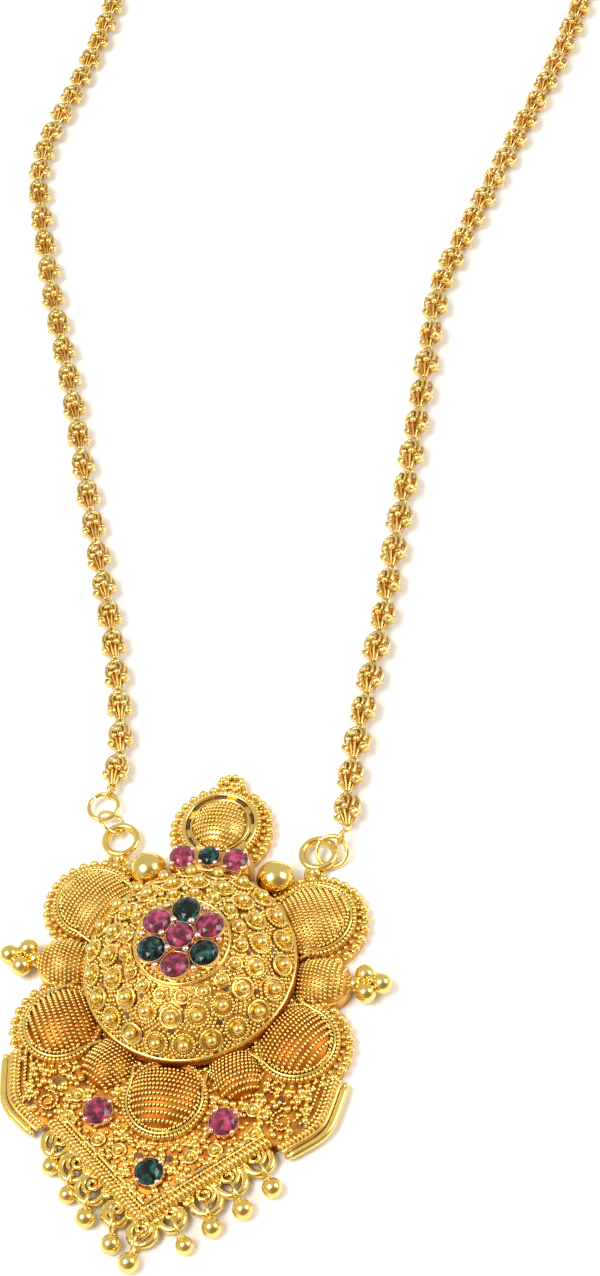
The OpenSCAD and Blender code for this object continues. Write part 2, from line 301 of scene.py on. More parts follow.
def spun(profile, steps):
    """A profile of (radius, height) points in mm, spun round the Z axis."""
    piece = mesh_piece([(r, 0, z) for r, z in profile],
                       [(i, i + 1) for i in range(len(profile) - 1)])
    open_mesh(piece)
    bpy.ops.mesh.spin(steps=steps, angle=2 * math.pi, center=(0, 0, 0), axis=(0, 0, 1))
    bpy.ops.mesh.select_all(action="SELECT")
    bpy.ops.mesh.remove_doubles(threshold=JOIN * MM)
    close_mesh()
    bpy.ops.object.shade_smooth_by_angle(angle=math.radians(35))
    return piece


def slab(outline, low, high, bevel=0.15):
    """A flat plate with that outline, extruded from its lower face, in mm."""
    piece = mesh_piece([(x, y, low) for x, y in outline], (), [range(len(outline))])
    open_mesh(piece)
    bpy.ops.mesh.extrude_region_move(
        TRANSFORM_OT_translate={"value": (0, 0, (high - low) * MM)})
    close_mesh()
    soften(piece, bevel)
    return piece


def wire(points, r, sides=1, radii=None):
    """A round wire of radius r in mm through the points, a curve turned to a mesh."""
    curve = bpy.data.curves.new("wire", "CURVE")
    curve.dimensions = "3D"
    curve.bevel_depth = r * MM
    curve.bevel_resolution = sides
    curve.use_fill_caps = True
    spline = curve.splines.new("POLY")
    spline.points.add(len(points) - 1)
    for i, point in enumerate(points):
        spline.points[i].co = mm(point) + [1]
        spline.points[i].radius = radii[i] if radii else 1
    only(new_object("wire", curve))
    bpy.ops.object.convert(target="MESH")
    bpy.ops.object.shade_smooth()
    return bpy.context.object


def smooth_path(points):
    """Points on a smooth curve through the given ones, six to a span."""
    path = [np.array(p, float) for p in points]
    path = [2 * path[0] - path[1]] + path + [2 * path[-1] - path[-2]]
    found = []
    for a, b, c, d in zip(path, path[1:], path[2:], path[3:]):
        for t in np.arange(6) / 6:
            found.append(0.5 * (2 * b + (c - a) * t + (2 * a - 5 * b + 4 * c - d) * t ** 2
                                + (3 * b - a - 3 * c + d) * t ** 3))
    return [tuple(p) for p in found] + [tuple(path[-2])]


def circle_path(r, z, around, start=0.0, sweep=360.0):
    """Points on a level circle or arc in mm and degrees."""
    shares = around if sweep == 360 else around - 1
    angles = [math.radians(start + sweep * i / shares) for i in range(around)]
    return [(r * math.cos(a), r * math.sin(a), z) for a in angles]


def curl_path(at, z, outer, inner, turns, start, hand):
    """A spiral in mm from its outer end inwards."""
    count = int(turns * 18)
    points = []
    for i in range(count + 1):
        r = outer + (inner - outer) * i / count
        a = math.radians(start) + hand * 2 * math.pi * turns * i / count
        points.append((at[0] + r * math.cos(a), at[1] + r * math.sin(a), z))
    return points


def paint(piece, name="granule_gold"):
    """Gives a piece the one material with that name."""
    piece.data.materials.clear()
    piece.data.materials.append(material(name))
    return piece


def joined(pieces, name="part", look=None):
    """The pieces as one object, all in one material where a look is named."""
    clear_selection()
    for piece in pieces:
        piece.select_set(True)
        if look:
            paint(piece, look)
    whole = pieces[0]
    bpy.context.view_layer.objects.active = whole
    if len(pieces) > 1:
        bpy.ops.object.join()
    whole.name = name
    whole.data.name = name
    return whole


def finished(name, pieces, look=None):
    """The pieces joined under a name, which ride with the object."""
    piece = joined(pieces, name, look)
    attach(piece, "root")
    return piece


def place(at, up=(0, 0, 1), along=(1, 0, 0), size=1.0):
    """A 4 x 4 place at a point in mm, whose Z is up and whose X lies along."""
    z = np.array(up, float)
    z /= np.linalg.norm(z)
    x = np.array(along, float)
    x -= z * x.dot(z)
    x /= np.linalg.norm(x)
    found = np.eye(4)
    found[:3, 0] = x * size
    found[:3, 1] = np.cross(z, x) * size
    found[:3, 2] = z * size
    found[:3, 3] = np.array(at, float) * MM
    return found


def circle_places(r, z, around, start=0.0, sweep=360.0, size=1.0):
    """Places on a level circle or arc in mm and degrees."""
    return [place(spot, size=size) for spot in circle_path(r, z, around, start, sweep)]


def rope_places(points, pitch, ups=None, slant=36.0, size=1.0, wound=False):
    """Evenly spaced places down a path in mm, for the slanted strands of a twisted rope wire
    or for the turns of a wire wound round a core."""
    path = np.array(points, float)
    ups = np.array(ups or [(0, 0, 1)] * len(path), float)
    steps = np.linalg.norm(np.diff(path, axis=0), axis=1)
    reach = np.concatenate([[0], np.cumsum(steps)])
    count = max(1, round(reach[-1] / pitch))
    a = math.radians(slant)
    places = []
    for s in (np.arange(count) + 0.5) * reach[-1] / count:
        i = min(np.searchsorted(reach, s) - 1, len(steps) - 1)
        part = (s - reach[i]) / steps[i]
        up = ups[i] + (ups[i + 1] - ups[i]) * part
        ahead = (path[i + 1] - path[i]) / steps[i]
        strand = ahead * math.cos(a) + np.cross(up, ahead) * math.sin(a)
        turned = (strand, up) if wound else (up, strand)
        places.append(place(path[i] + (path[i + 1] - path[i]) * part, *turned, size))
    return places


def read(rows, name, kind, width=1):
    """One attribute of all of a mesh's corners, loops or faces."""
    values = np.empty(len(rows) * width, kind)
    rows.foreach_get(name, values)
    return values


def repeated(unit, places, keep=False):
    """One mesh with the unit's shape at every place, joined from arrays of its corners."""
    mesh = unit.data
    corners = read(mesh.vertices, "co", float, 3).reshape(-1, 3)
    loops = read(mesh.loops, "vertex_index", int)
    starts = read(mesh.polygons, "loop_start", int)
    turned = [corners @ p[:3, :3].T + p[:3, 3] for p in places]
    steps = np.arange(len(places))[:, None]
    made = bpy.data.meshes.new("repeated")
    made.vertices.add(len(corners) * len(places))
    made.vertices.foreach_set("co", np.concatenate(turned).ravel())
    made.loops.add(len(loops) * len(places))
    made.loops.foreach_set("vertex_index", (loops + steps * len(corners)).ravel())
    made.polygons.add(len(starts) * len(places))
    made.polygons.foreach_set("loop_start", (starts + steps * len(loops)).ravel())
    for name, kind in (("material_index", int), ("use_smooth", bool)):
        made.polygons.foreach_set(name, np.tile(read(mesh.polygons, name, kind), len(places)))
    for kept in mesh.materials:
        made.materials.append(kept)
    made.update(calc_edges=True)
    if not keep:
        bpy.data.objects.remove(unit)
    return new_object("repeated", made)


def set_out(unit, spots, chosen, name):
    """Copies a unit to the chosen spots, each with its back to the disc, and drops it."""
    for i in chosen:
        x, y = spots[i]
        turn = math.degrees(math.atan2(y, x)) - 90
        made = moved(new_object("copy", unit.data.copy()), (x, y, 0), turn)
        finished(f"{name}_{i + 1}", [made])
    bpy.data.objects.remove(unit)


# Materials

def add(tree, kind, inputs=None, **settings):
    """Adds a shader node with its settings, and sets its inputs or links them."""
    made = tree.nodes.new("ShaderNode" + kind)
    for name, value in settings.items():
        setattr(made, name, value)
    for name, value in (inputs or {}).items():
        if isinstance(value, bpy.types.NodeSocket):
            tree.links.new(value, made.inputs[name])
        else:
            made.inputs[name].default_value = value
    return made


def new_material(name):
    """The tree of a new material, and the coordinates in its object."""
    made = bpy.data.materials.new(name)
    made.use_nodes = True
    tree = made.node_tree
    tree.nodes.clear()
    return tree, add(tree, "TexCoord").outputs["Object"]


def gold(name, light, dark, roughness):
    """Soldered 22 carat gold. Its colour drifts a little in patches, where the flame and the
    pickle left it more or less red, and its skin is faintly uneven, so its gloss breaks up."""
    tree, spot = new_material(name)
    patch = add(tree, "TexNoise", {"Vector": spot, "Scale": 1 / (PATCH * MM), "Detail": 3.0})
    share = add(tree, "MapRange",
                {"Value": patch.outputs["Fac"], "From Min": 0.35, "From Max": 0.65})
    colour = add(tree, "Mix", {"Factor": share.outputs["Result"], "A": light, "B": dark},
                 data_type="RGBA")
    grain = add(tree, "TexNoise", {"Vector": spot, "Scale": 1 / (GRAIN * MM), "Detail": 2.0})
    gloss = add(tree, "MapRange",
                {"Value": grain.outputs["Fac"], "To Min": roughness * 0.8,
                 "To Max": roughness * 1.25})
    skin = add(tree, "Bump",
               {"Height": grain.outputs["Fac"], "Strength": 0.4, "Distance": GRAIN_DEPTH * MM})
    shader = add(tree, "BsdfPrincipled",
                 {"Base Color": colour.outputs["Result"], "Metallic": 1.0,
                  "Roughness": gloss.outputs["Result"], "Normal": skin.outputs["Normal"]})
    add(tree, "OutputMaterial", {"Surface": shader.outputs["BSDF"]})


def mixed(a, b, share):
    """A colour between two."""
    return [x + (y - x) * share for x, y in zip(a, b)]


def metals():
    """The light tone, the dark tone and the roughness of each metal finish."""
    look = bpy.context.scene.necklace_look
    bright = list(look.bright) + [1.0]
    deep = list(look.deep) + [1.0]
    return {
        # Tumbled granules and wires: bright yellow with a soft gloss
        "granule_gold": (bright, mixed(bright, deep, 0.22), look.polish),
        # Sheet under the granules, not polished: duller, and deeper in colour as painted shade of
        # the hollows
        "sheet_gold": (mixed(bright, deep, 0.35), mixed(bright, deep, 0.8), 0.42),
        # Sheet between close granules: deeper orange as painted shade, and as dull
        "pickled_gold": (mixed(bright, deep, 0.45), mixed(deep, linear("#8a4a12"), 0.15), 0.42),
        # The same sheet in deeper painted shade: fire red, nearly orange
        "fired_gold": (mixed(deep, linear("#c2701f"), 0.4), linear("#a4591c"), 0.45),
        # Sheet of the lower plate in painted shade, redder in patches
        "torched_gold": (mixed(bright, deep, 0.97), linear("#8a4c1a"), 0.45),
        # Burnished balls and rings: the same gold with a sharper gloss
        "burnished_gold": (bright, mixed(bright, deep, 0.12), look.polish * 0.6),
        # Plated link parts: thin and bright, a little paler
        "link_gold": (mixed(bright, linear("#fae6aa"), 0.7), mixed(bright, deep, 0.15),
                      look.polish),
        # Painted shade on the links' fringe and inside: the deeper, redder gold of their shaded
        # parts
        "link_shade": (mixed(bright, deep, 0.55), mixed(bright, deep, 0.95), 0.3),
        # Hollows between the links' wires, where no light is thrown back: olive brown
        "link_recess": (linear("#a8842e"), linear("#7a5618"), 0.5),
        # Pale gold prongs and collets round the stones, with a painted pink reflection of the
        # stones
        "rose_gold": (linear("#fbe3cc"), linear("#f0c4a0"), look.polish * 0.8),
        # Painted shade in the pierced openings, slots and gaps: greyed brown
        "dark_recess": (linear("#8c6a58"), linear("#5f4640"), 0.6),
    }


def material(name):
    """The material with that name. A metal is made when it is first asked for."""
    if name not in bpy.data.materials:
        gold(name, *metals()[name])
    return bpy.data.materials[name]


def glass(name, body, spark, deep, rarity):
    """Glass on a foil back, cut and polished, under a clear hard gloss. The light that the facets
    behind break up is painted as paler and darker blots, with painted glints in the spark colour."""
    if name in bpy.data.materials:
        return
    tree, spot = new_material(name)
    blots = add(tree, "TexNoise",
                {"Vector": spot, "Scale": 1 / (BLOT * MM), "Detail": 1.0, "Distortion": 0.4})
    ramp = add(tree, "ValToRGB", {"Fac": blots.outputs["Fac"]})
    marks = ramp.color_ramp.elements
    marks[0].color = deep
    marks[0].position = 0.36
    marks[1].color = spark
    marks[1].position = rarity
    marks.new(0.5).color = body
    shader = add(tree, "BsdfPrincipled",
                 {"Base Color": ramp.outputs["Color"], "Roughness": 0.08, "IOR": 1.46})
    add(tree, "OutputMaterial", {"Surface": shader.outputs["BSDF"]})


# Small parts that repeat

def granules(r, places):
    """Soldered granules of radius r in mm."""
    return repeated(paint(ball(r, rows=4)), places)


def rope(places):
    """The slanted strands of twisted rope wires, each 0.49 mm long."""
    bead = ball(0.18, around=6, rows=4)
    bead.data.transform(Matrix.Rotation(math.radians(90), 4, "Y"))
    bead.data.transform(Matrix.Diagonal((1.35, 1.02, 1.2, 1)))
    return repeated(paint(bead), places)


def balls_in_rings(ring_r, thick, ball_r, places, around=14):
    """Granules that stand in wire rings on small dishes, in mm."""
    unit = joined([ring(ring_r, thick, (0, 0, thick * 1.1), around=around, across=5),
                   ball(ball_r, (0, 0, ball_r * 0.85), 10, 6),
                   drum(ring_r, -0.1, 0.1, sides=12, bevel=0)], look="granule_gold")
    return repeated(unit, places)


def vault(width, low, top, fall):
    """Height and outward direction of a vault in mm, and its half width at y. For y > 0 it is a
    half dome. For y < 0 its sides run straight on and it falls by fall * y * y, or it is the
    dome's other half where fall is None."""
    rise = top - low
    sphere = (width ** 2 + rise ** 2) / (2 * rise)

    def split(y):
        return (y, 0) if fall is None else (max(y, 0), min(y, 0))

    def at(x, y):
        out, back = split(y)
        upright = math.sqrt(max(sphere ** 2 - x * x - out * out, 0.01))
        drop = (fall or 0) * back
        return top - sphere + upright - drop * back, (x, out + 2 * drop * upright, upright)

    def half(y):
        return math.sqrt(max(width ** 2 - split(y)[0] ** 2, 0))

    return at, half


def rope_vault(width, inner, low, top, fall, spacing, pitch, ground):
    """A vault covered with rope wires side by side along X, and its sheet underneath."""
    at, half = vault(width, low, top, fall)
    places = []
    y = width - 0.22
    lead = 0.0
    while y > inner:
        reach = half(y) - 0.08
        xs = np.linspace(lead - reach, lead + reach - pitch, max(4, int(reach * 4)))
        spots = [at(x, y) for x in xs]
        places += rope_places([(x, y, z) for x, (z, up) in zip(xs, spots)], pitch,
                              [up for z, up in spots], slant=26, size=1 + 0.05 * max(y, 0))
        # The rows stand further apart towards the outer end, and each one's strands start a
        # third further on, so that they line up aslant and not across
        y -= spacing * (0.92 + 0.09 * max(y, 0))
        lead = (lead + 0.34 * pitch) % pitch
    ropes = rope(places)
    clear_selection()
    bpy.ops.mesh.primitive_grid_add(x_subdivisions=14, y_subdivisions=16, size=2 * MM)
    sheet = settled()
    for vertex in sheet.data.vertices:
        share = vertex.co.x / MM
        y = inner + (vertex.co.y / MM + 1) / 2 * (0.995 * width - inner)
        x = share * half(y)
        z = low - 0.4 if abs(share) > 0.99 else at(x, y)[0] - 0.16
        vertex.co = mm((x, y, z))
    return [ropes, paint(sheet, ground)]


def skirt():
    """A row of granules in rings round a petal, a row of plain ones inside it, and the petal's
    milgrain edge and wall."""
    # The rows leave the part of the circle open that runs in under the disc
    start, sweep = -62, 304
    # The wall carries painted shade, like the sheet under the granules
    wall = spun([(5.3, 0.9), (5.3, 1.35), (4.75, 1.5), (4.7, 2.3), (4.0, 2.3)], 48)
    return [balls_in_rings(0.5, 0.14, 0.46, circle_places(5.55, 1.2, 24, start, sweep), 8),
            granules(0.3, circle_places(4.92, 1.75, 30, start, sweep)),
            granules(0.25, circle_places(4.5, 2.5, 62)), paint(wall, "sheet_gold")]


# Operators, one for each piece or group of like pieces

class NECKLACE_OT_back_plate(bpy.types.Operator):
    """The soldered sheet under everything, flat at the back"""

    bl_idname = "necklace.back_plate"
    bl_label = "Back plate"

    def execute(self, context):
        parts = [drum(13, 0, 1.45, sides=64)]
        parts += [drum(PETAL_RADIUS, 0, 1.1, spot) for spot in PETAL_SPOTS + (CROWN_SPOT,)]
        parts += [drum(SMALL_DOME_RADIUS, 0, 1.6, spot, sides=32) for spot in SMALL_DOME_SPOTS]
        parts.append(slab(((-4.6, 11.5), (4.6, 11.5), (4.6, 14.3), (-4.6, 14.3)), 0, 4.1, 0.4))
        parts.append(slab(((-1.5, 24), (1.5, 24), (1.4, 26), (-1.4, 26)), 0, 1.2, 0.2))
        # The sheet under everything is painted in the shade it lies in, the lower plate in a
        # deeper painted shade
        parts = [paint(part, "sheet_gold") for part in parts]
        parts.append(paint(slab(PLATE_OUTLINE, 0, PLATE_TOP), "torched_gold"))
        piece = finished("pendant_plate", parts)
        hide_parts("pendant")
        return {"FINISHED"}


class NECKLACE_OT_disc(bpy.types.Operator):
    """The raised round disc with its rows of granules in rings"""

    bl_idname = "necklace.disc"
    bl_label = "Centre disc"

    def execute(self, context):
        profile = [(10.6, 1.2), (10.6, 2.25), (11.8, 2.25), (12.0, 2.4), (12.0, 3.2),
                   (11.9, 3.38), (11.6, 3.4)]
        radii = [11.7 * k / 14 for k in range(15)]
        # The rim's band, the dome's sheet and the drum under the flower are painted shade, and the
        # dark drum is painted shade between the flower's stones
        parts = [
            paint(spun(profile, 96), "fired_gold"),
            paint(ring(11.72, 0.24, (0, 0, 3.42), around=96, across=8), "burnished_gold"),
            paint(ring(5.22, 0.2, (0, 0, 8.45), around=64, across=8), "burnished_gold"),
            paint(spun([(r, self.height(r, 0)) for r in radii], 96), "pickled_gold"),
            paint(drum(4.95, 8.0, 8.5, sides=64), "pickled_gold"),
            paint(drum(3.4, 8.3, 8.8, sides=24), "dark_recess"),
            granules(0.3, circle_places(4.78, 8.6, 50))]
        finished("disc_body", parts)

        large = self.row(10.45, 22) + self.row(8.2, 18, 0.5)
        smooth = [p for i, p in enumerate(large) if i % 5 in (0, 3)]
        beaded = [p for i, p in enumerate(large) if i % 5 not in (0, 3)]
        small = self.row(6.3, 17, 0.2)
        between = self.row(7.2, 17, 0.7) + self.row(5.68, 24, 0.5, 0.85)
        parts = [balls_in_rings(1.14, 0.22, 0.72, smooth),
                 balls_in_rings(0.94, 0.13, 0.72, beaded),
                 balls_in_rings(0.78, 0.16, 0.58, small, 10),
                 granules(0.21, [p @ place(spot) for p in beaded
                                 for spot in circle_path(1.2, 0.28, 21)]),
                 repeated(paint(ball(0.4, (0, 0, 0.2), 10, 6)), between)]
        finished("disc_granules", parts)

        # Dark cones of painted shade in the openings between the rows
        holes = self.row(9.4, 11, 0.25) + self.row(7.2, 9, 0.0, 0.8)
        clear_selection()
        bpy.ops.mesh.primitive_cone_add(vertices=5, radius1=0.5 * MM, radius2=0.35 * MM,
                                        depth=0.3 * MM)
        dark = paint(settled(smooth=False), "dark_recess")
        finished("disc_holes", [repeated(dark, holes)])

        # The room in mm that the fine granules leave round the middle of each larger thing
        rooms = ((large, 1.38), (small, 0.9), (holes + between, 0.42))
        kept = [(p[:3, 3] / MM, room) for places, room in rooms for p in places]
        fine = []
        for x, y in self.sown(5.55, 11.55, 0.46):
            spot = np.array((x, y, self.height(x, y)))
            if all(np.linalg.norm(spot - middle) > room for middle, room in kept):
                fine.append(self.on_dome(x, y, lift=0.08))
        finished("disc_fine_granules", [granules(0.25, fine)])
        return {"FINISHED"}

    def height(self, x, y):
        """Height of the dome in mm."""
        return DOME_TOP - DOME_RADIUS + math.sqrt(max(DOME_RADIUS ** 2 - x * x - y * y, 0))

    def on_dome(self, x, y, size=1.0, lift=0.0):
        """A place that stands on the dome."""
        up = (x, y, math.sqrt(max(DOME_RADIUS ** 2 - x * x - y * y, 0.01)))
        return place((x, y, self.height(x, y) + lift), up, (-y, x, 0), size)

    def row(self, r, count, shift=0.0, size=1.0):
        """Places evenly spaced round the dome at one distance from its axis."""
        circle = circle_path(r, 0, count, start=360 * shift / count)
        return [self.on_dome(x, y, size) for x, y, z in circle]

    def sown(self, inner, outer, pitch):
        """Points sown evenly over the dome between two distances from its axis."""
        high = self.height(inner, 0)
        low = self.height(outer, 0)
        count = int(2 * math.pi * DOME_RADIUS * (high - low) / pitch ** 2)
        for k in range(count):
            z = high + (low - high) * (k + 0.5) / count
            r = math.sqrt(DOME_RADIUS ** 2 - (z - DOME_TOP + DOME_RADIUS) ** 2)
            a = k * math.pi * (3 - math.sqrt(5))
            yield r * math.cos(a), r * math.sin(a)


class NECKLACE_OT_petals(bpy.types.Operator):
    """The five round petals, whose vaults of rope wire run in under the disc"""

    bl_idname = "necklace.petals"
    bl_label = "Petals"

    def execute(self, context):
        sizes = context.scene.necklace_grain
        spacing, pitch = sizes.rope_spacing / MM, sizes.rope_pitch / MM
        arch = [(math.cos(a), math.sin(a)) for a in np.linspace(-0.25, math.pi + 0.25, 40)]
        rim = [(4.14 * x, 4.14 * y, 2.66) for x, y in arch]
        rim = [(4.05, -3.3, 2.5)] + rim + [(-4.05, -3.3, 2.5)]
        edge = [(3.78 * x, 3.78 * y, 2.82) for x, y in arch]
        # Each petal's ground under its ropes is painted shade, deeper on the lower three
        for ground, finer, chosen in (("sheet_gold", 0.88, (0, 4)),
                                      ("fired_gold", 1.0, (1, 2, 3))):
            unit = joined(rope_vault(3.98, -3.5, 2.5, sizes.petal_top / MM, 0.12,
                                     spacing * finer, pitch * finer, ground)
                          + [paint(wire(rim, 0.17, sides=2), "burnished_gold"),
                             rope(rope_places(edge, pitch))] + skirt())
            set_out(unit, PETAL_SPOTS, chosen, "petal")
        return {"FINISHED"}


class NECKLACE_OT_crown(bpy.types.Operator):
    """The topmost petal, with a pierced band round its dome and a tip of granules"""

    bl_idname = "necklace.crown"
    bl_label = "Crown"

    def execute(self, context):
        top = context.scene.necklace_grain.petal_top / MM
        parts = rope_vault(3.25, -3.1, 2.5, top, None, 0.54, 0.42, "granule_gold") + skirt() + [
            paint(ring(4.15, 0.24, (0, 0, 2.7), around=64, across=8), "burnished_gold"),
            paint(ring(3.35, 0.16, (0, 0, 2.72), around=56), "burnished_gold"),
            paint(drum(4.0, 2.0, 2.5))]
        # The band's slots are dark wires of painted shade on the drum
        for i in range(9):
            slot = circle_path(3.76, 2.52, 6, 40 * i + 10, 20)
            parts.append(paint(wire(slot, 0.19), "dark_recess"))
        tip = ((-1.15, 25.35), (-0.4, 25.6), (0.4, 25.6), (1.15, 25.35), (-1.3, 24.75),
               (-0.55, 24.9), (0.15, 24.85), (0.8, 24.8), (1.4, 24.6), (-0.9, 24.2), (0, 24.25),
               (0.9, 24.15))
        parts.append(granules(0.44, [place((x, y - CROWN_SPOT[1], 1.35 + 0.15 * (i % 3)))
                                     for i, (x, y) in enumerate(tip)]))
        finished("crown_petal", [moved(joined(parts), (*CROWN_SPOT, 0))])
        return {"FINISHED"}


class NECKLACE_OT_small_domes(bpy.types.Operator):
    """The four small vaults of rope rows between the petals"""

    bl_idname = "necklace.small_domes"
    bl_label = "Small domes"

    def execute(self, context):
        pitch = context.scene.necklace_grain.rope_pitch / MM
        # The domes' ground under the ropes is painted shade, deeper on the lower two
        for ground, chosen in (("sheet_gold", (0, 3)), ("fired_gold", (1, 2))):
            unit = joined(rope_vault(2.9, -3.4, 1.4, 3.6, 0.13, 0.5, pitch, ground))
            set_out(unit, SMALL_DOME_SPOTS, chosen, "small_dome")
        return {"FINISHED"}


class NECKLACE_OT_polished_balls(bpy.types.Operator):
    """The two polished balls beside the crown and the finials of three balls at the sides"""

    bl_idname = "necklace.polished_balls"
    bl_label = "Polished balls"

    def execute(self, context):
        parts = []
        for x, y in POLISHED_BALL_SPOTS:
            parts += [cut_flat(ball(2.2, (x, y, 1.8), 40, 24), 0.3),
                      ring(1.9, 0.22, (x, y, 0.95), around=32, across=8)]
        for side in (-1, 1):
            parts += [ball(1.17, (side * x, y, 1.6), 24, 14) for x, y in FINIAL_SPOTS]
            parts += [ball(0.42, (side * 19.95, 0.25, 2.4), 12, 8),
                      ball(0.9, (side * 18.2, 0.2, 1.4), 16, 10)]
        finished("polished_balls", parts, "burnished_gold")
        return {"FINISHED"}


class NECKLACE_OT_lower_plate(bpy.types.Operator):
    """The granulated plate inside the V, with its curls and small granules in rings"""

    bl_idname = "necklace.lower_plate"
    bl_label = "Lower plate"

    def execute(self, context):
        rings, holes, curls = ([(side * x, y, room) for side in (-1, 1) for x, y, room in spots]
                               for spots in (PLATE_RINGS, PLATE_HOLES, PLATE_CURLS))
        strands = []
        for x, y, r in curls:
            path = curl_path((x, y), PLATE_TOP + 0.2, r, 0.3, 1.6, 100, math.copysign(1, x))
            strands += rope_places(path, 0.42, slant=30)
        for side in (-1, 1):
            for inset in (1.35, 2.0, 2.65):
                path = [(side * (x - inset), y + inset * 0.35, PLATE_TOP + 0.2)
                        for x, y in smooth_path(CORNER_PATH[:4])]
                strands += rope_places(path, 0.44, slant=side * 34)
        # Dark drums of painted shade in the plate's openings
        dark = paint(drum(0.42, -0.05, 0.05, sides=6, bevel=0), "dark_recess")

        kept = [(x, y, 5.0) for x, y in PETAL_SPOTS] + [(0, 0, 12.6)]
        kept += [(x, y, SMALL_DOME_RADIUS) for x, y in SMALL_DOME_SPOTS]
        kept += [(x, y, r + 0.4) for x, y, z, r, pink in PLATE_STONES]
        kept += rings + holes + [(x, y, r + 0.1) for x, y, r in curls]
        chance = np.random.RandomState(4)
        # The loose granules' spacing in mm, and how far chance shifts each of them
        across, down, loose = 0.74, 0.66, 0.16
        fine = []
        for row in range(30):
            for column in range(-26, 27):
                x = (column + 0.5 * (row % 2)) * across + chance.uniform(-loose, loose)
                y = -7.5 - row * down + chance.uniform(-loose, loose)
                if self.inside(x, y, kept):
                    fine.append(place((x, y, PLATE_TOP + chance.uniform(0.05, 0.2)),
                                      size=chance.uniform(0.7, 1.45)))
        finished("plate_granules", [
            balls_in_rings(0.72, 0.18, 0.48, [place((x, y, PLATE_TOP)) for x, y, r in rings]),
            rope(strands), repeated(dark, [place((x, y, PLATE_TOP)) for x, y, r in holes]),
            granules(0.36, fine)])
        return {"FINISHED"}

    def inside(self, x, y, kept):
        """Whether a granule at a point stays on the plate and clear of what is on it."""
        x_out = abs(x)
        slope = (V_END[1] - V_APEX[1]) / V_END[0]
        low = V_APEX[1] + slope * x_out + 1.15
        if x_out > V_END[0]:
            # Beyond the V the edge is level and then rises to the corner
            low = -19.35 + max(0, x_out - 13.2) * 0.8
        if y < low or x_out > 15.6 or math.dist((x_out, y), V_END) < 0.95:
            return False
        return all(math.hypot(x - a, y - b) > r for a, b, r in kept)


class NECKLACE_OT_v_edge(bpy.types.Operator):
    """The wound rope along the V and the grooved bars at the plate's corners"""

    bl_idname = "necklace.v_edge"
    bl_label = "V edge and corner bars"

    def execute(self, context):
        coils, strands, bars = [], [], []
        for side in (-1, 1):
            slant = side * 20
            coils += rope_places(self.line(side, 0.15, 1.8), 0.5, slant=slant, wound=True)
            strands += rope_places(self.line(side, -0.62, 2.0), 0.4, slant=side * 34, size=1.1)
            # The cores under the wound turns are painted in their shade
            bars += [paint(wire(self.line(side, 0.15, 1.75), 0.52, sides=2), "sheet_gold"),
                     paint(wire(self.line(side, -1.12, 1.85), 0.24, sides=2), "burnished_gold")]
            coils += rope_places(self.corner(side, -0.85, 1.35), 0.48, slant=slant, size=0.85,
                                 wound=True)
            bars.append(paint(wire(self.corner(side, -0.85, 1.3), 0.44, sides=2), "sheet_gold"))
        turns = repeated(paint(ring(0.5, 0.22, around=14)), coils)
        finished("v_edge", [turns, rope(strands)] + bars)
        corners = []
        for side in (-1, 1):
            for shift, z, r in ((0.35, 0.95, 0.5), (-0.25, 1.4, 0.24)):
                path = self.corner(side, shift, z)
                radii = [0.55] + [1] * (len(path) - 2) + [0.55]
                corners.append(wire(path, r, sides=3, radii=radii))
                corners += [ball(r * 0.8, end, 12, 8) for end in (path[0], path[-1])]
        finished("corner_bars", corners, "granule_gold")
        return {"FINISHED"}

    def corner(self, side, shift, z):
        """The bent path of a corner bar in mm, moved outwards by shift."""
        return [(side * (x + shift), y - shift * 0.45, z) for x, y in smooth_path(CORNER_PATH)]

    def line(self, side, offset, z):
        """One side of the V in mm, moved outwards by offset."""
        end = (side * (V_END[0] + 0.4 + 0.644 * offset), V_END[1] + 0.3 - 0.765 * offset, z)
        return [end, (0, V_APEX[1] - offset / 0.765, z)]


class NECKLACE_OT_loops(bpy.types.Operator):
    """The scroll loops along the V and the two eyelets"""

    bl_idname = "necklace.loops"
    bl_label = "Scroll loops and eyelets"

    def execute(self, context):
        parts, dishes = [], []
        for x, y, r in LOOPS:
            inward = self.inward(x, y)
            centre = (x + inward.x * r * 0.3, y + inward.y * r * 0.3)
            start = math.degrees(math.atan2(-inward.y, -inward.x))
            scroll = curl_path(centre, 1.45, r * 0.74, r * 0.12, 1.7, start, math.copysign(1, x))
            root = (x + inward.x * (r + 0.35), y + inward.y * (r + 0.35), 1.3)
            parts += [ring(r + 0.08, 0.46, (x, y, 1.0), around=30, across=8),
                      wire(scroll, 0.27), ball(0.5, root, 12, 8)]
            # A dish of painted shade under each curl, where the loop's hollow lies in shade
            dishes.append(drum(r * 0.5, 0.95, 1.15, centre, sides=18, bevel=0))
        for (x, y, r), (x2, y2, r2) in zip(LOOPS, LOOPS[1:]):
            middle = Vector((x + x2, y + y2)) / 2
            spot = middle + self.inward(*middle) * 0.95
            parts += [ring(0.52, 0.26, (*spot, 1.3), around=14), ball(0.34, (*spot, 1.4), 10, 6)]
        finished("loop_dishes", dishes, "fired_gold")
        for side in (-1, 1):
            x, y = side * EYELET_SPOT[0], EYELET_SPOT[1]
            parts += [ring(1.9, 0.4, (x, y, 1.2), around=40, across=10),
                      ring(1.75, 0.3, (x, y, 0.75), around=40, across=8),
                      ball(0.75, (x - side * 0.2, y - 2.35, 0.9), 16, 10),
                      ring(1.0, 0.3, (x - side * 0.1, y - 2.5, 0.7), across=8)]
        finished("loops_and_eyelets", parts, "burnished_gold")
        return {"FINISHED"}

    def inward(self, x, y):
        """The direction from a spot on the V towards the plate."""
        return Vector((-x * 0.55, -17 - y)).normalized()


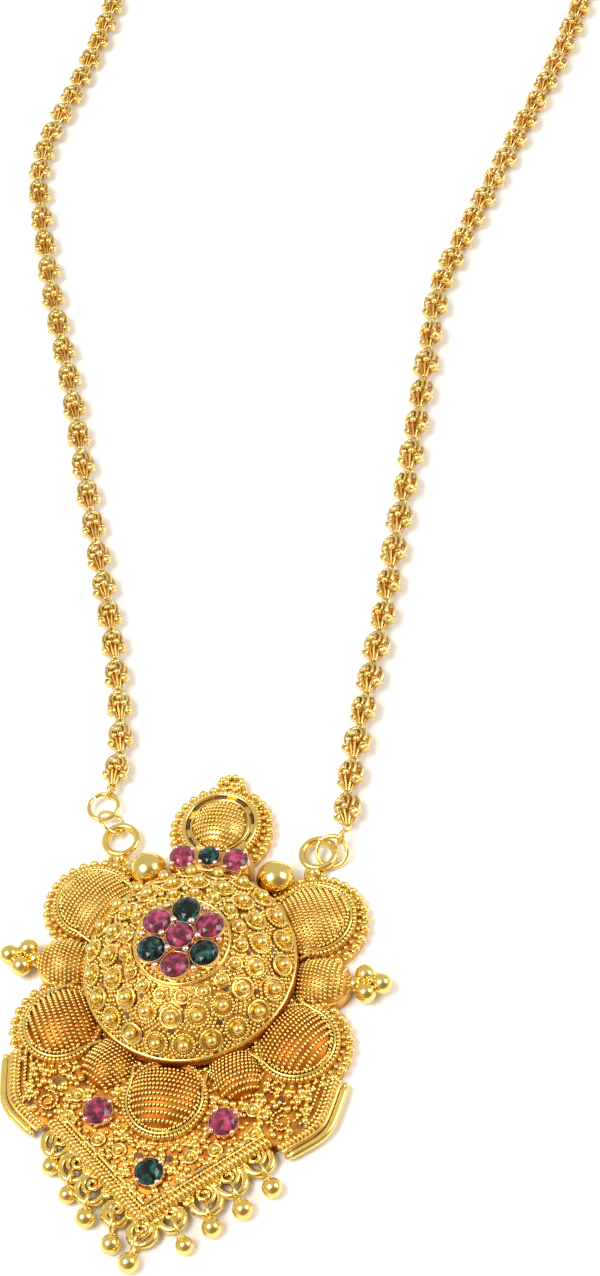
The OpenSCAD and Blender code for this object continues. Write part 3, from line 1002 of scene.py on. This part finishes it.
class NECKLACE_OT_stones(bpy.types.Operator):
    """The round faceted stones, their collets and their prongs"""

    bl_idname = "necklace.stones"
    bl_label = "Stones"

    def execute(self, context):
        look = context.scene.necklace_look
        # The spark colours are painted glints in the stones' blots
        glass("pink_glass", list(look.pink) + [1], linear("#b8466e"), linear("#4e1c2c"), 0.7)
        glass("green_glass", list(look.green) + [1], linear("#2b7871"), linear("#020605"), 0.9)
        collets = []
        for group, stones in (("flower_stone", FLOWER_STONES), ("bar_stone", BAR_STONES),
                              ("plate_stone", PLATE_STONES)):
            for i, (x, y, z, r, is_pink) in enumerate(stones):
                node = f"{group}_{i + 1}"
                colour = "pink" if is_pink else "green"
                # A little wider than the model's stone, as its edge spreads over the collet
                stone = moved(self.cut_stone(1.06 * r), (x, y, z), 17.0 * i)
                cut = finished(node + "_cut", [stone], colour + "_glass")
                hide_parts(node)
                wall = spun([(r + 0.08, 0.0), (r + 0.1, 0.08), (r + 0.16, 0.08),
                             (r + 0.2, -0.08), (r + 0.2, -1.6)], 32)
                collets.append(moved(wall, (x, y, z)))
        # The collets' pink tint is a painted reflection of the stones
        finished("collets", collets, "rose_gold")
        prongs = circle_places(1.98, 10.02, 6) + circle_places(4.25, 9.5, 6, size=0.95)
        for x, y, z, r, is_pink in BAR_STONES + PLATE_STONES:
            prongs += [place((x + a, y + b, z + c), size=0.75)
                       for a, b, c in circle_path(r + 0.1, 0.1, 4, start=45)]
        # The prongs' pink tint is a painted reflection of the stones
        prong = paint(ball(0.43, around=12, rows=8), "rose_gold")
        finished("prongs", [repeated(prong, prongs)])
        return {"FINISHED"}

    def cut_stone(self, r):
        """A round stone: a ten-sided girdle whose top is raised and turned in two steps to a
        small table, so that its sides break in three-cornered facets."""
        clear_selection()
        bpy.ops.mesh.primitive_cylinder_add(vertices=10, radius=r * MM, depth=0.14 * r * MM)
        stone = bpy.context.object
        bpy.ops.object.mode_set(mode="EDIT")
        bpy.ops.mesh.select_mode(type="FACE")
        bpy.ops.mesh.select_all(action="DESELECT")
        bpy.ops.object.mode_set(mode="OBJECT")
        for face in stone.data.polygons:
            face.select = face.normal.z > 0.9
        bpy.ops.object.mode_set(mode="EDIT")
        for share, rise in ((0.82, 0.2), (0.7, 0.14)):
            bpy.ops.mesh.extrude_region_move(
                TRANSFORM_OT_translate={"value": (0, 0, rise * r * MM)})
            bpy.ops.transform.resize(value=(share, share, 1), center_override=(0, 0, 0))
            bpy.ops.transform.rotate(value=math.radians(18), orient_axis="Z",
                                     center_override=(0, 0, 0))
        bpy.ops.mesh.select_all(action="SELECT")
        bpy.ops.mesh.quads_convert_to_tris(quad_method="SHORTEST_DIAGONAL",
                                           ngon_method="BEAUTY")
        close_mesh()
        return stone


class NECKLACE_OT_drops(bpy.types.Operator):
    """The balls on wire eyes that hang in the scroll loops"""

    bl_idname = "necklace.drops"
    bl_label = "Drops"

    def execute(self, context):
        for i, ((lx, ly, lr), (bx, by, br)) in enumerate(zip(LOOPS, DROP_BALLS)):
            reach = math.hypot(bx - lx, by - ly)
            turn = math.degrees(math.atan2(by - ly, bx - lx))
            near, far = lr - 0.97, reach - 0.75 * br
            eye = (far - near) / 2
            drop = joined([ring(eye, 0.19, ((near + far) / 2, 0, eye + 0.19), (90, 0, 0), 32, 8),
                           ball(br, (reach, 0, br), 24, 14),
                           ring(0.42, 0.15, (reach - br * 0.88, 0, br), (0, 90, 0), 16)])
            piece = finished(f"drop_{i + 1}_ball", [moved(drop, (lx, ly, 0), turn)],
                             "burnished_gold")
            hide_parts(f"drop_{i + 1}")
        return {"FINISHED"}


class NECKLACE_OT_rings(bpy.types.Operator):
    """The jump rings between the eyelets and the chain"""

    bl_idname = "necklace.rings"
    bl_label = "Jump rings"

    def execute(self, context):
        # Each ring's open arc, with a narrow slit at 140 degrees where the wire's ends meet
        slit, cut = 140, 4
        for node, r, thick, at, tilt, turn in (
                ("ring_left_large", 1.74, 0.27, (-14.6, 20.8, 1.15), 0, 0),
                ("ring_left_small", 1.68, 0.2, (-13.11, 18.63, 1.38), -44, -55.5),
                ("ring_right", 1.74, 0.27, (13.1, 16.8, 1.3), 30, 0)):
            arc = circle_path(r, 0, 60, start=slit + cut, sweep=360 - 2 * cut)
            bent = moved(wire(arc, thick, sides=3), at, turn, tilt)
            piece = finished(node + "_wire", [bent], "burnished_gold")
            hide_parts(node)
        return {"FINISHED"}


def route_at(route, s):
    """The point in mm at a distance along a route."""
    for a, b in zip(route, route[1:]):
        step = math.dist(a, b)
        if s <= step or b == route[-1]:
            return np.array(a, float) + (np.array(b, float) - np.array(a, float)) * s / step
        s -= step


def chain_link():
    """One link, its thread along Z and its open face towards X: a hood of arched wires over
    dark hollows at the front and the back, a hanging cluster at each side, and a neck of thin
    wires that runs in the next link's ring."""
    # The core is painted shade, the dark orange inside the hood
    core = moved(ball(0.8, (0, 0, 0), 12, 8), (0, 0, 0.6), stretch=(1.0, 1.15, 1.6))
    parts = [paint(core, "link_shade")]
    for side in (-1, 1):
        for reach, rise, out, thick in ((1.22, 1.6, 0.42, 0.2), (0.86, 1.12, 0.76, 0.18),
                                        (0.4, 0.6, 1.0, 0.16)):
            arch = [(side * (out + 0.1 * (1 - math.sin(a))), reach * math.cos(a),
                     0.4 + rise * math.sin(a)) for a in np.linspace(-0.5, math.pi + 0.5, 10)]
            parts.append(paint(wire(arch, thick, sides=0), "link_gold"))
        for y, z, r, look in ((0.12, 0.98, 0.24, "link_recess"), (-0.5, 0.3, 0.2, "link_recess"),
                              (-0.42, -0.36, 0.36, "link_gold"), (0.42, -0.34, 0.4, "link_gold"),
                              (-0.1, 0.55, 0.42, "link_gold"), (-0.55, 0.9, 0.24, "link_gold")):
            parts.append(paint(ball(r, (side * 0.96, y, z)), look))
        parts.append(paint(ball(0.6, (0, side * 0.94, -0.98), 12, 7), "link_gold"))
        for face in (-1, 1):
            spot = (face * 0.4, side * 0.98, -0.98)
            parts += [paint(ring(0.38, 0.17, spot, (0, 90, 0), 10, 5), "link_gold"),
                      paint(ball(0.16, (face * 0.54, side * 1.0, -0.98), 6, 4), "link_recess")]
    # One stem in four is plain link gold; the others carry painted shade
    for i, (x, y, z) in enumerate(circle_path(1, 0, 8, start=22.5)):
        stem = [(0.9 * x, 0.75 * y, -0.45), (0.85 * x, 0.62 * y, -1.0),
                (0.5 * x, 0.45 * y, -1.7), (0.3 * x, 0.3 * y, -2.5)]
        parts.append(paint(wire(stem, 0.16, sides=0), "link_gold" if i % 4 == 1 else "link_shade"))
    return joined(parts)


class NECKLACE_OT_chain(bpy.types.Operator):
    """The two strands of linked cages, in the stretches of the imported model"""

    bl_idname = "necklace.chain"
    bl_label = "Chain"

    def execute(self, context):
        size = context.scene.necklace_link.width / (LINK_WIDTH * MM)
        unit = chain_link()
        neck = joined([ring(0.5, 0.17, (0, 0, -0.25), (0, 90, 0), 14, 5),
                       ring(0.38, 0.15, (0, 0, 0.15), (0, 0, 0), 12, 5)], look="link_gold")
        for side, route, stretches, z, roll, girth, eye, eye_turn in (
                ("left", LEFT_ROUTE, LEFT_STRETCHES, 1.57, 0, 1.0, (-14.2, 22.66, 1.3), 78),
                ("right", RIGHT_ROUTE, RIGHT_STRETCHES, 1.54, 32, 1.1, (14.03, 18.25, 2.05), 80)):
            for n, (start, count, spacing) in enumerate(stretches):
                links, necks = [], []
                for i in range(count):
                    a = route_at(route, start + i * spacing)
                    b = route_at(route, start + (i + 1) * spacing)
                    heading = np.append((b - a) / np.linalg.norm(b - a), 0.0)
                    across = np.cross((0, 0, 1), heading)
                    # No link lies quite like the next
                    turn = math.radians(roll + LINK_SWAY * math.sin(2.4 * i + n))
                    face = np.array((0, 0, 1)) * math.cos(turn) + across * math.sin(turn)
                    link = place(np.append((a + b) / 2, z), heading, face, size)
                    # Where the links follow closer they are shorter too
                    link[:3, 2] *= spacing / LONGEST_LINK
                    link[:3, :2] *= girth
                    links.append(link)
                    necks.append(place((*a, z), heading, face))
                parts = [repeated(unit, links, keep=True), repeated(neck, necks, keep=True)]
                if n == 0:
                    # The upright wire eye that ends a strand at the pendant
                    end = ring(0.75, 0.2, eye, (90, 0, eye_turn), 24)
                    parts.append(paint(end, "link_gold"))
                name = f"chain_{side}_{n + 1}"
                piece = finished(name + "_links", parts)
                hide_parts(name)
        bpy.data.objects.remove(unit)
        bpy.data.objects.remove(neck)
        return {"FINISHED"}


class NECKLACE_OT_clasp(bpy.types.Operator):
    """The plain barrel clasp at the far end"""

    bl_idname = "necklace.clasp"
    bl_label = "Clasp"

    def execute(self, context):
        half, r = 4.0, 1.6
        profile = [(0, -half), (1.0, -half), (1.45, -3.6), (r, -3.1), (r, -0.2), (1.5, -0.1),
                   (1.5, 0.1), (r, 0.2), (r, 3.1), (1.45, 3.6), (1.0, half), (0, half)]
        barrel = spun(profile, 40)
        barrel.data.transform(Matrix.Rotation(math.radians(90), 4, "Y"))
        moved(barrel, (*CLASP_SPOT, r))
        piece = finished("clasp_barrel", [barrel], "burnished_gold")
        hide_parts("clasp")
        return {"FINISHED"}


class NECKLACE_OT_stage(bpy.types.Operator):
    """The pale surface, the lights and the camera"""

    bl_idname = "necklace.stage"
    bl_label = "Stage"

    def execute(self, context):
        clear_selection()
        bpy.ops.mesh.primitive_plane_add(size=4, location=(0, 0.1, 0))
        floor = settled(smooth=False)
        floor.name = "surface"
        self.card()
        paint(floor, "white_card")
        self.studio(context.scene)
        self.lamp("key", (-0.26, -0.16, 0.62), 0.36, 3.7)
        self.lamp("fill", (0.52, 0.14, 0.42), 0.32, 2.0)
        self.camera(context.scene)
        context.scene.view_settings.view_transform = "Standard"
        return {"FINISHED"}

    def camera(self, scene):
        """The camera at the viewing angle that the petals, the disc and the drops fit best."""
        camera = bpy.data.cameras.new("camera")
        camera.sensor_fit = "VERTICAL"
        camera.sensor_height = 24
        # The focal length and the frame's height in pixels
        camera.lens = 2600 / 1276 * camera.sensor_height
        camera.clip_start = 0.01
        right = Vector((0.979, 0.157, -0.133))
        down = Vector((0.050, -0.808, -0.587))
        ahead = Vector((-0.200, 0.568, -0.798))
        turn = Matrix((right, -down, -ahead)).transposed()
        seen = new_object("camera", camera)
        seen.matrix_world = Matrix.Translation((0.0672, -0.1315, 0.2511)) @ turn.to_4x4()
        scene.camera = seen

    def card(self):
        """White card, matt, with the faintest mottle."""
        tree, spot = new_material("white_card")
        mottle = add(tree, "TexNoise", {"Vector": spot, "Scale": 1 / (MOTTLE * MM)})
        colour = add(tree, "Mix", {"Factor": mottle.outputs["Fac"], "A": linear("#fcfcfc"),
                                   "B": linear("#f9f9f9")}, data_type="RGBA")
        shader = add(tree, "BsdfPrincipled",
                     {"Base Color": colour.outputs["Result"], "Roughness": 0.9})
        add(tree, "OutputMaterial", {"Surface": shader.outputs["BSDF"]})

    def studio(self, scene):
        """A pale room that is dark on the side where nothing is lit, for the balls to mirror."""
        world = bpy.data.worlds.new("studio")
        world.use_nodes = True
        tree = world.node_tree
        tree.nodes.clear()
        toward = add(tree, "VectorMath", {0: add(tree, "TexCoord").outputs["Generated"],
                                          1: (0.51, -0.71, 0.48)}, operation="DOT_PRODUCT")
        share = add(tree, "MapRange",
                    {"Value": toward.outputs["Value"], "From Min": 0.45, "From Max": 0.97},
                    interpolation_type="SMOOTHSTEP")
        tone = add(tree, "Mix", {"Factor": share.outputs["Result"], "A": (0.7, 0.68, 0.63, 1),
                                 "B": (0.38, 0.27, 0.15, 1)}, data_type="RGBA")
        shade = add(tree, "Background", {"Color": tone.outputs["Result"], "Strength": 1.0})
        add(tree, "OutputWorld", {"Surface": shade.outputs["Background"]})
        scene.world = world

    def lamp(self, name, at, size, power):
        """A square soft light that looks at the pendant."""
        light = bpy.data.lights.new(name, "AREA")
        light.size = size
        light.energy = power
        made = new_object(name, light)
        made.location = at
        gaze = Vector((0, 0.03, 0)) - Vector(at)
        made.rotation_euler = gaze.to_track_quat("-Z", "Y").to_euler()


class NECKLACE_PT_panel(bpy.types.Panel):
    """Lists the steps that build the necklace"""

    bl_idname = "NECKLACE_PT_panel"
    bl_label = "Pendant Necklace"
    bl_space_type = "VIEW_3D"
    bl_region_type = "UI"
    bl_category = "Necklace"

    def draw(self, context):
        for group in ("necklace_look", "necklace_grain", "necklace_link"):
            owner = getattr(context.scene, group)
            for name in owner.__annotations__:
                self.layout.prop(owner, name)
        for operator in OPERATORS:
            self.layout.operator(operator.bl_idname)


OPERATORS = (
    NECKLACE_OT_back_plate, NECKLACE_OT_disc, NECKLACE_OT_petals, NECKLACE_OT_crown,
    NECKLACE_OT_small_domes, NECKLACE_OT_polished_balls, NECKLACE_OT_lower_plate,
    NECKLACE_OT_v_edge, NECKLACE_OT_loops, NECKLACE_OT_stones, NECKLACE_OT_drops,
    NECKLACE_OT_rings, NECKLACE_OT_chain, NECKLACE_OT_clasp, NECKLACE_OT_stage,
)
CLASSES = (GoldLook, GrainSizes, LinkSizes) + OPERATORS + (NECKLACE_PT_panel,)


def register():
    """Registers the classes and gives the scene its settings."""
    for cls in CLASSES:
        bpy.utils.register_class(cls)
    bpy.types.Scene.necklace_look = bpy.props.PointerProperty(type=GoldLook)
    bpy.types.Scene.necklace_grain = bpy.props.PointerProperty(type=GrainSizes)
    bpy.types.Scene.necklace_link = bpy.props.PointerProperty(type=LinkSizes)


def unregister():
    """Takes back what register did."""
    del bpy.types.Scene.necklace_link
    del bpy.types.Scene.necklace_grain
    del bpy.types.Scene.necklace_look
    for cls in reversed(CLASSES):
        bpy.utils.unregister_class(cls)


def main():
    register()
    for operator in OPERATORS:
        group, name = operator.bl_idname.split(".")
        getattr(getattr(bpy.ops, group), name)()


if __name__ == "__main__":
    main()
